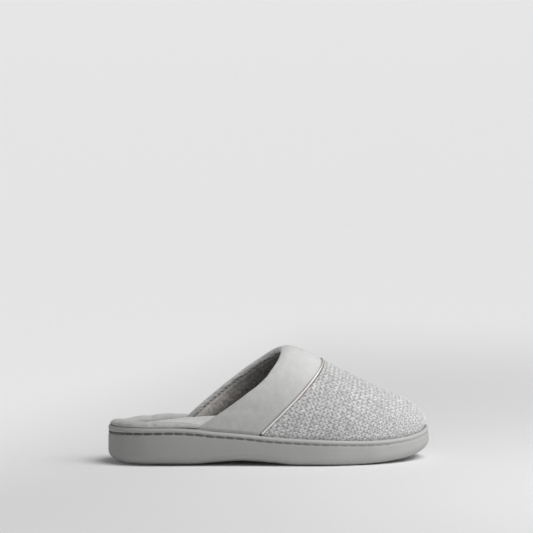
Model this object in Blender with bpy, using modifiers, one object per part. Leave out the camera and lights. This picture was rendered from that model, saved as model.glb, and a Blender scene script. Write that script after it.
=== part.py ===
"""Mule slipper for the right foot: moulded outsole, insole, padded heel rim, upper and piping.

Run with blender --background --python part.py, or from Blender's text editor.
Metres, +Z up, toe towards +X, outer side of the foot towards -Y.
The origin is on the floor, under the middle of the slipper's box.
"""

import math

import bmesh
import bpy
import numpy as np

MM = 0.001

# Driving dimensions
LENGTH = 258 * MM
GAP = 0.3 * MM
WALL = 3.5 * MM
CUP_DEPTH = 5.0 * MM
LIP_WIDTH = 3.2 * MM
RIM_WIDTH = 8.5 * MM
PIPING_RADIUS = 0.95 * MM
UPPER_BULGE = 1.4 * MM

# Mesh density
SOLE_STATIONS = 44
SOLE_ACROSS = 4
INSOLE_STATIONS = 34
RIM_STEPS = 38
UPPER_ROWS = 28
UPPER_ARC_STEPS = 26
PIPING_STEPS = 44
ROUND_STEPS = 4

OUTER, INNER = -1, 1


def table(columns, rows):
    """The rows of a table in millimetres, as one array in metres for each named column."""
    values = np.array(rows, float).T * MM
    return dict(zip(columns.split(), values))


# Plan outline of the sole: distance from the heel, half width, shift of the middle line to the inner side
OUTLINE = table("from_heel half_width shift", [
    (0, 0, 0),
    (3, 13.4, 0),
    (12, 24.6, 0),
    (30, 32.2, 0),
    (50, 34.2, -0.4),
    (80, 34.9, -1.6),
    (110, 36.2, -3.5),
    (140, 39.3, -4.8),
    (165, 43.0, -4.0),
    (185, 45.2, -1.2),
    (205, 44.8, 1.6),
    (222, 41.0, 4.2),
    (238, 33.2, 6.2),
    (250, 21.8, 7.4),
    (258, 0, 8.0),
])

# Side profile of the sole: underside, top of the lip, stitch groove below that, radius of the lower edge
PROFILE = table("from_heel underside lip groove edge_round", [
    (0, 1.4, 29.0, 4.6, 7.5),
    (14, 0, 30.1, 4.6, 6.0),
    (47, 0, 30.5, 4.4, 4.5),
    (64, 0, 29.6, 4.3, 4.5),
    (80, 1.4, 27.5, 3.9, 4.5),
    (103, 3.0, 25.5, 3.7, 4.5),
    (128, 1.6, 23.0, 3.7, 4.5),
    (146, 0, 21.9, 3.7, 4.5),
    (190, 0, 19.9, 3.7, 4.5),
    (205, 0.6, 19.4, 3.7, 4.8),
    (216, 1.2, 19.4, 3.7, 5.0),
    (232, 2.7, 20.2, 3.8, 5.4),
    (246, 5.0, 22.0, 4.1, 5.6),
    (258, 8.8, 26.2, 5.3, 6.0),
])

# Wall of the sole above its lower edge: inset from the outline in millimetres, share of the groove's
# depth below the lip, and millimetres below that
SOLE_WALL = [
    (0.0, 0.0, 10.0),
    (0.2, 1.0, 2.2),
    (0.5, 1.0, 0.8),
    (1.9, 1.0, 0.4),
    (1.9, 1.0, -0.4),
    (0.5, 1.0, -0.8),
    (0.1, 0.55, 0.0),
    (0.6, 0.2, 0.0),
    (1.5, 0.0, 0.1),
    (2.6, 0.0, 0.0),
    (3.1, 0.0, 0.6),
]

# Top of the insole: height along the middle line, and how far its long edges stand above that
FOOTBED = table("from_heel middle edge_rise", [
    (0, 29.0, 0),
    (20, 28.8, 0.2),
    (36, 29.2, 0.3),
    (46, 30.4, 0.3),
    (66, 32.4, 0.3),
    (88, 33.2, 0.2),
    (105, 32.0, -0.2),
    (120, 29.6, -0.4),
    (150, 25.6, 0),
    (190, 23.7, 0),
    (225, 23.4, 0),
    (258, 27.0, 0),
])

# Inset of the insole's edge: beside the heel rim, then beside the upper
INSOLE_EDGE = table("from_heel inset", [
    (0, 12.6),
    (76, 12.6),
    (94, 8.9),
    (258, 8.9),
])

# Crest of the padded heel rim, for each share of the way from the back of the heel to the collar
RIM_SHARES = (0, 0.3, 0.5, 0.75, 0.9, 1)
RIM_CREST = table("outer inner", [
    (33.0, 33.0),
    (33.2, 32.4),
    (33.5, 32.8),
    (33.5, 34.4),
    (32.9, 35.0),
    (31.8, 34.8),
])

# Section of the heel rim: share of its width from the outside, and height counted as 0 on the floor
# of the cup, 1 at the top of the lip and 2 at the crest
RIM_SECTION = [
    (0.00, 0.00),
    (0.00, 1.00),
    (-0.13, 1.34),
    (-0.06, 1.74),
    (0.22, 2.00),
    (0.56, 1.95),
    (0.82, 1.58),
    (0.97, 1.00),
    (1.00, 0.40),
    (1.00, 0.00),
]

# Ribs of the upper, from the collar to the toe: where each stands on the outer and inner edge of the
# sole, where it crosses the ridge, and the ridge's height and shift to the inner side
RIBS = table("outer inner ridge height shift", [
    (60, 58, 137.0, 89.6, 2.0),
    (69, 66, 143.5, 91.0, 2.0),
    (88, 84, 154.5, 88.2, 2.0),
    (114, 108, 171.0, 79.7, 2.0),
    (146, 142, 193.0, 68.4, 2.5),
    (177, 174, 213.0, 58.2, 3.5),
    (206, 206, 232.0, 50.0, 5.0),
    (230, 232, 245.0, 42.8, 6.5),
    (244, 246, 252.0, 35.6, 7.5),
    (251, 252, 254.9, 30.2, 7.8),
    (254, 255, 254.5, 26.8, 8.0),
    (256.5, 257, 254.5, 22.7, 8.0),
])

# Shape of the same ribs: sweep back down the outer and inner side, lift before they sweep, and fullness
RIB_SHAPE = np.array([
    (1.40, 0.90, 1.0, 0.80),
    (1.40, 0.95, 1.0, 0.80),
    (1.30, 1.05, 1.0, 0.81),
    (1.20, 1.20, 1.1, 0.82),
    (1.20, 1.20, 1.3, 0.84),
    (1.15, 1.15, 1.6, 0.86),
    (1.10, 1.10, 2.0, 0.88),
    (1.00, 1.00, 2.0, 0.90),
    (1.00, 1.00, 2.0, 0.92),
    (1.00, 1.00, 2.0, 0.96),
    (1.00, 1.00, 2.0, 1.00),
    (1.00, 1.00, 2.0, 1.00),
])
OUTER_SWEEP, INNER_SWEEP, LIFT, FULLNESS = range(4)
COLLAR_RIB, PIPING_RIB, TOE_RIB = 0, 3, len(RIB_SHAPE) - 1


# Curves

def smooth(at, knots, values):
    """A cubic through the values that never overshoots them, so level stretches stay level."""
    knots = np.asarray(knots, float)
    values = np.asarray(values, float)
    secants = np.diff(values) / np.diff(knots)
    slopes = np.zeros(len(knots))
    before, after = secants[:-1], secants[1:]
    rising = before * after > 0
    slopes[1:-1][rising] = 2 * before[rising] * after[rising] / (before + after)[rising]
    slopes[0], slopes[-1] = secants[0], secants[-1]
    at = np.asarray(at, float)
    i = np.clip(np.searchsorted(knots, at) - 1, 0, len(knots) - 2)
    step = knots[i + 1] - knots[i]
    t = np.clip((at - knots[i]) / step, 0, 1)
    rest = 1 - t
    return (
        values[i] * (1 + 2 * t) * rest**2
        + slopes[i] * step * t * rest**2
        + values[i + 1] * (1 + 2 * rest) * t**2
        - slopes[i + 1] * step * rest * t**2
    )


def along(name_table, column, from_heel):
    return smooth(from_heel, name_table["from_heel"], name_table[column])


def turn_at(from_heel):
    """The angle that spaces stations closely at the heel and the toe, where the outline is round."""
    return np.arccos(np.clip(1 - 2 * np.asarray(from_heel, float) / LENGTH, -1, 1))


def outline_point(turn, side):
    """A point of the sole's outline, seen from above."""
    knots = turn_at(OUTLINE["from_heel"])
    half_width = smooth(turn, knots, OUTLINE["half_width"])
    shift = smooth(turn, knots, OUTLINE["shift"])
    from_heel = LENGTH * (1 - np.cos(turn)) / 2
    return np.stack([from_heel, shift + side * half_width], axis=-1)


def inset_point(turn, side, inset):
    """The outline moved inwards, square to itself."""
    turn = np.asarray(turn, float)
    nudge = 1e-3
    low, high = np.clip(turn - nudge, 0, math.pi), np.clip(turn + nudge, 0, math.pi)
    heading = outline_point(high, side) - outline_point(low, side)
    heading /= np.linalg.norm(heading, axis=-1, keepdims=True)
    inwards = np.stack([side * heading[..., 1], -side * heading[..., 0]], axis=-1)
    return outline_point(turn, side) + np.asarray(inset)[..., None] * inwards


def underside(from_heel):
    return along(PROFILE, "underside", from_heel)


def lip_top(from_heel):
    return along(PROFILE, "lip", from_heel)


def cup_floor(from_heel):
    return lip_top(from_heel) - CUP_DEPTH


def ring(stations, inset_of, height_of):
    """Points once round the sole: heel, outer side, toe, inner side."""
    turns = np.linspace(0, math.pi, stations + 1)
    sides = [(turn, OUTER) for turn in turns] + [(turn, INNER) for turn in turns[-2:0:-1]]
    points = []
    for turn, side in sides:
        station = LENGTH * (1 - math.cos(turn)) / 2
        x, y = inset_point(turn, side, inset_of(station))
        points.append((x, y, float(height_of(x))))
    return points


# Slipper's box, which sets the origin
BOX_TURNS = np.linspace(0, math.pi, 721)
MIDDLE_X = LENGTH / 2
MIDDLE_Y = (
    outline_point(BOX_TURNS, OUTER)[:, 1].min() + outline_point(BOX_TURNS, INNER)[:, 1].max()
) / 2


# Upper

def rib_value(values, row):
    return smooth(row, np.arange(len(values)), values)


def foot_height(x):
    """Lower edge of the upper, just over the floor of the cup."""
    return cup_floor(x) + 2.5 * GAP


def upper_point(row, arc):
    """A point of the upper's outer face. row counts ribs from the collar, arc runs from -1 to 1 across."""
    side, foot_column, sweep_column = (OUTER, "outer", OUTER_SWEEP) if arc < 0 else (INNER, "inner", INNER_SWEEP)
    foot_station = rib_value(RIBS[foot_column], row)
    foot_x, foot_y = inset_point(turn_at(foot_station), side, LIP_WIDTH + 1.5 * GAP)
    foot_z = foot_height(foot_x)
    ridge_x = rib_value(RIBS["ridge"], row)
    ridge_y = rib_value(RIBS["shift"], row)
    ridge_z = max(rib_value(RIBS["height"], row), foot_z)
    sweep = rib_value(RIB_SHAPE[:, sweep_column], row)
    lift = rib_value(RIB_SHAPE[:, LIFT], row)
    fullness = rib_value(RIB_SHAPE[:, FULLNESS], row)
    angle = abs(arc) * math.pi / 2
    rise = max(math.cos(angle), 0) ** fullness
    spread = math.sin(angle) ** fullness
    bulge = UPPER_BULGE * math.sin(math.pi * rise) ** 2 * min(1, (ridge_z - foot_z) / (40 * MM))
    x = ridge_x + (foot_x - ridge_x) * (1 - rise**lift) ** sweep
    y = ridge_y + (foot_y - ridge_y) * spread + side * bulge
    z = foot_z + (ridge_z - foot_z) * rise
    return np.array([x, y, z])


def upper_normal(row, arc):
    """The direction out of the upper's outer face."""
    nudge = 0.01
    forwards = upper_point(row + nudge, arc) - upper_point(row - nudge, arc)
    across = upper_point(row, min(arc + nudge, 1)) - upper_point(row, max(arc - nudge, -1))
    out = np.cross(forwards, across)
    return out / np.linalg.norm(out)


# Making objects

def clear_scene():
    for obj in list(bpy.data.objects):
        bpy.data.objects.remove(obj)


def material(name, colour, roughness, metallic=0.0):
    made = bpy.data.materials.new(name)
    made.use_nodes = True
    shader = made.node_tree.nodes["Principled BSDF"]
    shader.inputs["Base Color"].default_value = (*colour, 1)
    shader.inputs["Roughness"].default_value = roughness
    shader.inputs["Metallic"].default_value = metallic
    return made


def placed(point):
    """A point measured from the heel, in the slipper's own frame."""
    return (point[0] - MIDDLE_X, point[1] - MIDDLE_Y, point[2])


def object_from(name, mesh_or_curve, finish, collection):
    mesh_or_curve.materials.append(finish)
    made = bpy.data.objects.new(name, mesh_or_curve)
    collection.objects.link(made)
    return made


def mesh_object(name, bm, finish, collection):
    bmesh.ops.recalc_face_normals(bm, faces=bm.faces)
    mesh = bpy.data.meshes.new(name)
    bm.to_mesh(mesh)
    bm.free()
    mesh.shade_smooth()
    mesh.set_sharp_from_angle(angle=math.radians(40))
    return object_from(name, mesh, finish, collection)


def add_ring(bm, points):
    return [bm.verts.new(placed(p)) for p in points]


def join_rings(bm, lower, upper, closed=True):
    count = len(lower)
    for i in range(count if closed else count - 1):
        k = (i + 1) % count
        bm.faces.new((lower[i], lower[k], upper[k], upper[i]))


def cap_ring(bm, verts, height_of):
    """Closes a ring of the sole with strips that run across from the outer to the inner side."""
    stations = len(verts) // 2
    rows = [[verts[0]]]
    for i in range(1, stations):
        outer, inner = verts[i], verts[-i]
        row = [outer]
        for step in range(1, SOLE_ACROSS):
            share = step / SOLE_ACROSS
            point = outer.co.lerp(inner.co, share)
            point.z = height_of(point.x + MIDDLE_X, share)
            row.append(bm.verts.new(point))
        rows.append([*row, inner])
    rows.append([verts[stations]])
    for row, after in zip(rows, rows[1:]):
        for k in range(SOLE_ACROSS):
            corners = [row[min(k, len(row) - 1)], row[min(k + 1, len(row) - 1)]]
            corners += [after[min(k + 1, len(after) - 1)], after[min(k, len(after) - 1)]]
            bm.faces.new(list(dict.fromkeys(corners)))


def make_outsole(finish, collection):
    """One moulding: rounded lower edge, side wall, stitch groove, lip and the cup inside the lip."""
    bm = bmesh.new()
    rings = []
    for step in range(ROUND_STEPS + 1):
        angle = math.pi / 2 * step / ROUND_STEPS

        def inset_of(station, angle=angle):
            return along(PROFILE, "edge_round", station) * (1 - math.sin(angle))

        def height_of(x, angle=angle):
            return underside(x) + along(PROFILE, "edge_round", x) * (1 - math.cos(angle))

        rings.append(add_ring(bm, ring(SOLE_STATIONS, inset_of, height_of)))
    for inset, share, below in SOLE_WALL:

        def wall_height(x, share=share, below=below):
            return lip_top(x) - share * along(PROFILE, "groove", x) - below * MM

        rings.append(add_ring(bm, ring(
            SOLE_STATIONS,
            lambda station, inset=inset: inset * MM,
            wall_height,
        )))
    rings.append(add_ring(bm, ring(SOLE_STATIONS, lambda station: LIP_WIDTH, cup_floor)))
    for lower, upper in zip(rings, rings[1:]):
        join_rings(bm, lower, upper)
    cap_ring(bm, rings[0], lambda x, share: underside(x))
    cap_ring(bm, rings[-1], lambda x, share: cup_floor(x))
    return mesh_object("outsole", bm, finish, collection)


def footbed_height(x, share):
    """Top of the insole, where share runs from 0 at the outer edge to 1 at the inner edge."""
    from_middle = abs(2 * share - 1)
    return along(FOOTBED, "middle", x) + along(FOOTBED, "edge_rise", x) * from_middle**2


def make_insole(finish, collection):
    """Foam footbed that fills the cup inside the heel rim and the upper."""
    edge_step = 1.6 * MM
    bm = bmesh.new()

    def edge(extra):
        return lambda station: along(INSOLE_EDGE, "inset", station) + extra

    def top(x):
        return footbed_height(x, 0)

    heights = [
        (edge(0), lambda x: cup_floor(x) + GAP),
        (edge(0), lambda x: top(x) - edge_step),
        (edge(0.4 * edge_step), lambda x: top(x) - 0.4 * edge_step),
        (edge(1.4 * edge_step), top),
    ]
    rings = [add_ring(bm, ring(INSOLE_STATIONS, inset, height)) for inset, height in heights]
    for lower, upper in zip(rings, rings[1:]):
        join_rings(bm, lower, upper)
    cap_ring(bm, rings[0], lambda x, share: cup_floor(x) + GAP)
    cap_ring(bm, rings[-1], footbed_height)
    return mesh_object("insole", bm, finish, collection)


def collar_edge(side, height):
    """How far from the heel the collar's edge stands, at a height on one side."""
    foot_column, sweep_column = ("outer", OUTER_SWEEP) if side == OUTER else ("inner", INNER_SWEEP)
    foot_x = RIBS[foot_column][COLLAR_RIB]
    foot_z = foot_height(foot_x)
    ridge_x = RIBS["ridge"][COLLAR_RIB]
    rise = max(height - foot_z, 0) / (RIBS["height"][COLLAR_RIB] - foot_z)
    return ridge_x + (foot_x - ridge_x) * (1 - rise) ** RIB_SHAPE[COLLAR_RIB, sweep_column]


def make_heel_rim(finish, collection):
    """Padded roll on the lip round the heel. Its ends lean forwards along the collar's edge."""
    end_clearance = 1.0 * MM
    bm = bmesh.new()
    rings = []
    for place in np.linspace(-1, 1, RIM_STEPS + 1):
        side, crest_column = (OUTER, "outer") if place < 0 else (INNER, "inner")
        crest = smooth(abs(place), RIM_SHARES, RIM_CREST[crest_column])
        section = []
        for width_share, level in RIM_SECTION:
            inset = LIP_WIDTH + GAP + RIM_WIDTH * width_share
            low_turn = abs(place) * turn_at(collar_edge(side, 0) - end_clearance)
            low_x = inset_point(low_turn, side, inset)[0]
            levels = (cup_floor(low_x) + GAP, lip_top(low_x) + 2 * GAP, crest)
            height = np.interp(level, (0, 1, 2), levels)
            turn = abs(place) * turn_at(collar_edge(side, height) - end_clearance)
            x, y = inset_point(turn, side, inset)
            section.append((x, y, height))
        rings.append(add_ring(bm, section))
    for lower, upper in zip(rings, rings[1:]):
        join_rings(bm, lower, upper)
    ends = [bm.faces.new(rings[0]), bm.faces.new(rings[-1])]
    bmesh.ops.triangulate(bm, faces=ends)
    return mesh_object("heel_rim", bm, finish, collection)


def make_upper(finish, collection):
    """Padded vamp and collar in one hollow wall, open at the back and underneath."""
    bm = bmesh.new()
    rows = []
    for row in np.linspace(COLLAR_RIB, TOE_RIB, UPPER_ROWS + 1):
        arcs = np.linspace(-1, 1, UPPER_ARC_STEPS + 1)
        rows.append(add_ring(bm, [upper_point(row, arc) for arc in arcs]))
    for lower, upper in zip(rows, rows[1:]):
        join_rings(bm, lower, upper, closed=False)
    made = mesh_object("upper", bm, finish, collection)
    wall = made.modifiers.new("wall", "SOLIDIFY")
    wall.thickness = WALL
    wall.offset = -1
    return made


def make_piping(finish, collection):
    """Thin piped cord over the seam between the collar band and the vamp."""
    curve = bpy.data.curves.new("piping", "CURVE")
    curve.dimensions = "3D"
    curve.bevel_depth = PIPING_RADIUS
    curve.bevel_resolution = 2
    curve.use_fill_caps = True
    arc_end = 0.968
    arcs = np.linspace(-arc_end, arc_end, PIPING_STEPS + 1)
    spline = curve.splines.new("POLY")
    spline.points.add(PIPING_STEPS)
    for point, arc in zip(spline.points, arcs):
        stand_off = (PIPING_RADIUS + GAP) * upper_normal(PIPING_RIB, arc)
        point.co = (*placed(upper_point(PIPING_RIB, arc) + stand_off), 1)
    return object_from("piping", curve, finish, collection)


def main():
    clear_scene()
    slipper = bpy.data.collections.new("mule_slipper")
    bpy.context.scene.collection.children.link(slipper)
    make_outsole(material("grey_moulded_rubber", (0.36, 0.36, 0.355), 0.62), slipper)
    make_insole(material("grey_terry", (0.55, 0.55, 0.54), 0.95), slipper)
    make_heel_rim(material("grey_velour", (0.50, 0.51, 0.50), 0.9), slipper)
    make_upper(material("grey_knit", (0.56, 0.56, 0.56), 0.95), slipper)
    make_piping(material("rose_metallic_piping", (0.62, 0.50, 0.46), 0.35, 0.6), slipper)


main()
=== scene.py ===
# %% [markdown]
# # A grey mule slipper for the right foot
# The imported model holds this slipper's true sizes as five plain solids. This lesson dresses each of
# them: the moulded sole with its sewn groove, the soft footbed, the padded roll round the open heel,
# the velour collar band, the knitted vamp, the fleece inside it and the metallic piping.
# Lengths are metres, the toe points to +X, +Z is up, and the outer side of the foot faces -Y.

import math

import bmesh
import bpy
import numpy as np
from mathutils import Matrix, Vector


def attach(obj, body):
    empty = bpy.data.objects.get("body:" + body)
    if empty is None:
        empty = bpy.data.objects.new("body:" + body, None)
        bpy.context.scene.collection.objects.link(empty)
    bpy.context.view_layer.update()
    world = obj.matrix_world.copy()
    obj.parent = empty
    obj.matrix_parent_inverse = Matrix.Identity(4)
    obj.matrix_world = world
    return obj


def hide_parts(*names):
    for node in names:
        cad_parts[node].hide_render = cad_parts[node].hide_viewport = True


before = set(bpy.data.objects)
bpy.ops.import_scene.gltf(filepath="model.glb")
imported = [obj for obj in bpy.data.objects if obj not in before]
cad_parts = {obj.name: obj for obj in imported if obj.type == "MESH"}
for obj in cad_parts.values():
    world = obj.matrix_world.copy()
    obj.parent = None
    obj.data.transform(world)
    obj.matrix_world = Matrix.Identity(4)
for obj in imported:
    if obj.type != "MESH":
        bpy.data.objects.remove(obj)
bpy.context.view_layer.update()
MM = 0.001
print("solids:", ", ".join(sorted(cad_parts)))

# %% [markdown]
# ## The shape behind every piece
# A slipper's sole is drawn as an outline from above and a profile from the side. The same drawings
# shaped the solids, so the finer pieces made here lie on them; only the lip at the back of the heel is
# drawn a little higher. A cubic that never overshoots its points keeps level stretches level, where a
# plain spline would ripple.

# %% Smooth curves through measured points
def smooth(at, knots, values):
    """A cubic through the values that never overshoots them."""
    knots = np.asarray(knots, float)
    values = np.asarray(values, float)
    secants = np.diff(values) / np.diff(knots)
    slopes = np.zeros(len(knots))
    before, after = secants[:-1], secants[1:]
    rising = before * after > 0
    slopes[1:-1][rising] = 2 * before[rising] * after[rising] / (before + after)[rising]
    slopes[0], slopes[-1] = secants[0], secants[-1]
    at = np.asarray(at, float)
    i = np.clip(np.searchsorted(knots, at) - 1, 0, len(knots) - 2)
    step = knots[i + 1] - knots[i]
    t = np.clip((at - knots[i]) / step, 0, 1)
    rest = 1 - t
    return (
        values[i] * (1 + 2 * t) * rest**2
        + slopes[i] * step * t * rest**2
        + values[i + 1] * (1 + 2 * rest) * t**2
        - slopes[i + 1] * step * rest * t**2
    )


def ease(low, high, value):
    """0 below low, 1 above high, with a soft start and end."""
    t = np.clip((np.asarray(value, float) - low) / (high - low), 0, 1)
    return t * t * (3 - 2 * t)


def hump(off_centre, width):
    """1 at the centre, falling softly to 0 on both sides."""
    return np.exp(-((off_centre / width) ** 2))


def table(columns, rows):
    """Rows in millimetres as one array in metres for each named column."""
    return dict(zip(columns.split(), np.array(rows, float).T * MM))


# %% Outline and side profile of the sole
LENGTH = 258 * MM
LIP_WIDTH = 3.2 * MM
CUP_DEPTH = 5.0 * MM
GAP = 0.3 * MM
OUTER, INNER = -1, 1

OUTLINE = table("from_heel half_width shift", [
    (0, 0, 0), (3, 13.4, 0), (12, 24.6, 0), (30, 32.2, 0), (50, 34.2, -0.4), (80, 34.9, -1.6),
    (110, 36.2, -3.5), (140, 39.3, -4.8), (165, 43.0, -4.0), (185, 45.2, -1.2), (205, 44.8, 1.6),
    (222, 41.0, 4.2), (238, 33.2, 6.2), (250, 21.8, 7.4), (258, 0, 8.0),
])
PROFILE = table("from_heel underside lip groove", [
    (0, 1.4, 30.4, 6.0), (14, 0, 30.3, 4.8), (47, 0, 30.5, 4.4), (64, 0, 29.6, 4.3), (80, 1.4, 27.5, 3.9),
    (103, 3.0, 25.5, 3.7), (128, 1.6, 23.0, 3.7), (146, 0, 21.9, 3.7), (190, 0, 19.9, 3.7),
    (205, 0.6, 19.4, 3.7), (216, 1.2, 19.4, 3.7), (232, 2.7, 20.2, 3.8), (246, 5.0, 22.0, 4.1),
    (258, 8.8, 26.2, 5.3),
])


def along(drawing, column, from_heel):
    """A drawing's value at a distance from the heel."""
    return smooth(from_heel, drawing["from_heel"], drawing[column])


def turn_at(from_heel):
    """The angle that packs stations closely at the round heel and toe."""
    return np.arccos(np.clip(1 - 2 * np.asarray(from_heel, float) / LENGTH, -1, 1))


def outline_point(turn, side):
    knots = turn_at(OUTLINE["from_heel"])
    half_width = smooth(turn, knots, OUTLINE["half_width"])
    shift = smooth(turn, knots, OUTLINE["shift"])
    return np.stack([LENGTH * (1 - np.cos(turn)) / 2, shift + side * half_width], axis=-1)


def inset_point(turn, side, inset):
    """The outline moved inwards, square to itself."""
    turn = np.asarray(turn, float)
    nudge = 1e-3
    low, high = np.clip(turn - nudge, 0, math.pi), np.clip(turn + nudge, 0, math.pi)
    heading = outline_point(high, side) - outline_point(low, side)
    heading /= np.linalg.norm(heading, axis=-1, keepdims=True)
    inwards = np.stack([side * heading[..., 1], -side * heading[..., 0]], axis=-1)
    return outline_point(turn, side) + np.asarray(inset)[..., None] * inwards


def lip_top(from_heel):
    return along(PROFILE, "lip", from_heel)


def cup_floor(from_heel):
    return lip_top(from_heel) - CUP_DEPTH


turns = np.linspace(0, math.pi, 721)
MIDDLE = np.array([
    LENGTH / 2,
    (outline_point(turns, OUTER)[:, 1].min() + outline_point(turns, INNER)[:, 1].max()) / 2,
    0,
])
print("ball of the foot, width in mm:", round(2 * OUTLINE["half_width"].max() / MM, 1))

# %% [markdown]
# ## From points to Blender pieces
# Nearly every piece is a grid of points: rows one way, columns the other. Making the mesh from arrays
# is quick even for a hundred thousand faces. A value can be stored at each point as an attribute, which
# the finish reads later, so a knitted stitch and its shade come from the same numbers.

# %% Mesh makers
def faces_between(number, flip=False):
    """Four-cornered faces between neighbours in a grid of point numbers."""
    corners = [number[:-1, :-1], number[:-1, 1:], number[1:, 1:], number[1:, :-1]]
    faces = np.stack(corners[::-1] if flip else corners, axis=-1)
    return faces.reshape(-1, 4).tolist()


def grid_faces(rows, columns, closed=False, flip=False):
    """Faces of a grid numbered row by row; closed joins its last column to its first."""
    number = np.arange(rows * columns).reshape(rows, columns)
    if closed:
        number = np.column_stack([number, number[:, 0]])
    return faces_between(number, flip)


def tube_faces(rows, around):
    """Faces of a tube, with one face over each end."""
    last = (rows - 1) * around
    ends = [list(range(around)), list(range(last, last + around))]
    return grid_faces(rows, around, closed=True) + ends


def face_outwards(mesh):
    """Turns every face of a closed mesh to look out of it."""
    bm = bmesh.new()
    bm.from_mesh(mesh)
    bmesh.ops.recalc_face_normals(bm, faces=bm.faces)
    bm.to_mesh(mesh)
    bm.free()


def make_piece(name, points, faces, finish, solid=False, **point_values):
    """A smooth mesh object in the slipper's frame, from points measured from the heel."""
    mesh = bpy.data.meshes.new(name)
    mesh.from_pydata((np.asarray(points).reshape(-1, 3) - MIDDLE).tolist(), [], faces)
    if solid:
        face_outwards(mesh)
    for value_name, values in point_values.items():
        stored = mesh.attributes.new(value_name, "FLOAT", "POINT")
        stored.data.foreach_set("value", np.asarray(values, np.float32).ravel())
    mesh.shade_smooth()
    mesh.materials.append(finish.material)
    piece = bpy.data.objects.new(name, mesh)
    bpy.context.scene.collection.objects.link(piece)
    return piece


def settle(piece, slot, *solids):
    """The piece rides on the slipper and stands for those solids; slot is not used."""
    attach(piece, "root")
    if solids:
        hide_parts(*solids)
    triangles = sum(len(face.vertices) - 2 for face in piece.data.polygons)
    print(f"{piece.name}: {triangles} triangles")


# %% Soft unevenness that is the same on every run
def lumps(points, size, seed):
    """Smooth noise from -1 to 1, with lumps of that size in metres."""
    cells = 32
    lattice = np.random.default_rng(seed).uniform(-1, 1, (cells, cells, cells))
    place = np.asarray(points, float) / size
    cell = np.floor(place).astype(int)
    t = place - cell
    t = t * t * (3 - 2 * t)
    total = np.zeros(place.shape[:-1])
    for corner in np.ndindex(2, 2, 2):
        weight = np.prod(np.where(np.array(corner) == 1, t, 1 - t), axis=-1)
        i, j, k = np.moveaxis((cell + np.array(corner)) % cells, -1, 0)
        total += weight * lattice[i, j, k]
    return total


print("lumps at the heel:", np.round(lumps(np.zeros((2, 3)) + 0.0013, 0.004, 1), 3).tolist())

# %% [markdown]
# ## Writing finishes as sums
# A Blender finish is a graph of nodes. Wiring it by hand hides the idea, so one small class wraps a
# socket and lets Python's own signs add the Math nodes: `1 - mask` or `tone * 0.3 + 0.5`. Colours go
# through Mix, because a Math node turns a colour grey.

# %% Wires and finishes
class Wire:
    """A value on its way through a finish."""

    def __init__(self, finish, socket):
        self.finish = finish
        self.socket = socket

    def maths(self, operation, first, second):
        return self.finish.node("ShaderNodeMath", {"operation": operation}, {0: first, 1: second})

    def __add__(self, other):
        return self.maths("ADD", self, other)

    def __radd__(self, other):
        return self.maths("ADD", other, self)

    def __sub__(self, other):
        return self.maths("SUBTRACT", self, other)

    def __rsub__(self, other):
        return self.maths("SUBTRACT", other, self)

    def __mul__(self, other):
        return self.maths("MULTIPLY", self, other)

    def __rmul__(self, other):
        return self.maths("MULTIPLY", other, self)

    def eased(self, low, high):
        """0 below low, 1 above high, soft between."""
        return self.finish.node(
            "ShaderNodeMapRange",
            {"interpolation_type": "SMOOTHSTEP"},
            {"Value": self, "From Min": low, "From Max": high},
        )


class Finish:
    """A material built from named nodes round one main shader."""

    def __init__(self, name, constants):
        self.material = bpy.data.materials.new(name)
        self.material.use_nodes = True
        self.tree = self.material.node_tree
        self.shader = self.tree.nodes["Principled BSDF"]
        self.surface(constants)

    def plug(self, socket, value):
        if isinstance(value, Wire):
            self.tree.links.new(value.socket, socket)
        else:
            socket.default_value = value

    def surface(self, values):
        for name, value in values.items():
            self.plug(self.shader.inputs[name], value)

    def node(self, kind, settings, sockets, output=0):
        made = self.tree.nodes.new(kind)
        for name, value in settings.items():
            setattr(made, name, value)
        for key, value in sockets.items():
            self.plug(made.inputs[key], value)
        return Wire(self, made.outputs[output])

    def mixed(self, share, first, second):
        """A colour between two colours."""
        return self.node("ShaderNodeMix", {"data_type": "RGBA"}, {0: share, 6: first, 7: second}, output=2)

    def place(self, stretch=(1, 1, 1)):
        """Where on the slipper a point lies, in metres, stretched by those factors."""
        where = self.node("ShaderNodeTexCoord", {}, {}, output="Object")
        return self.node("ShaderNodeVectorMath", {"operation": "MULTIPLY"}, {0: where, 1: stretch})

    def towards(self, direction):
        """How far along a direction a point lies, in metres from the slipper's middle."""
        settings = {"operation": "DOT_PRODUCT"}
        return self.node("ShaderNodeVectorMath", settings, {0: self.place(), 1: direction}, output="Value")

    def cloud(self, size, detail=2.0, stretch=(1, 1, 1)):
        """Noise from 0 to 1 with lumps of that size in metres."""
        sockets = {"Vector": self.place(stretch), "Scale": 1 / size, "Detail": detail}
        return self.node("ShaderNodeTexNoise", {}, sockets, output="Fac")

    def stored(self, name):
        """A value kept at the mesh's own points."""
        return self.node("ShaderNodeAttribute", {"attribute_name": name}, {}, output="Fac")

    def bumped(self, height, depth):
        """Tilts the surface as if height, times depth in metres, stood on it."""
        sockets = {"Strength": 1.0, "Distance": depth, "Height": height}
        self.surface({"Normal": self.node("ShaderNodeBump", {}, sockets)})


def grey(level, tint=(1, 1, 1)):
    """A colour near grey, as red, green, blue and cover."""
    return (level * tint[0], level * tint[1], level * tint[2], 1)
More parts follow.
